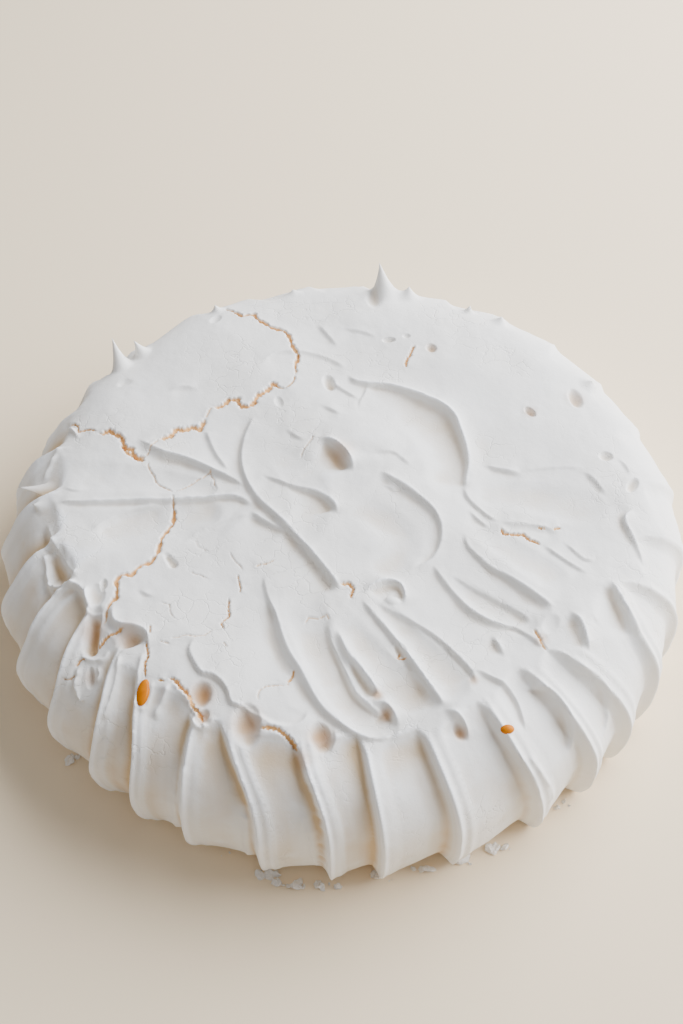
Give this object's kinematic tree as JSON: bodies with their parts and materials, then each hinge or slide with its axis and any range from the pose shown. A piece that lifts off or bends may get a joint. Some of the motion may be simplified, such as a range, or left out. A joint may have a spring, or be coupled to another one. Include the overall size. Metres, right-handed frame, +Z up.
{
  "type": "pavlova meringue shell",
  "caption": "Round baked meringue shell for a pavlova, with a fluted side and a flat, swirled and cracked top that cream and fruit are piled on.",
  "frame": {"origin": "middle of the flat base, on the surface that the meringue stands on", "axes": "+Z up out of the swirled top, -Y towards the front, +X to the right seen from the front"},
  "size_m": [0.2404, 0.2364, 0.0654],
  "materials": {
    "meringue": "dry, matt, crisp baked egg-white crust, off-white with a warm cast in its hollows, tan inside its cracks, and with small glossy amber syrup beads"
  },
  "bodies": {
    "root": {"meringue": "meringue"}
  },
  "joints": []
}
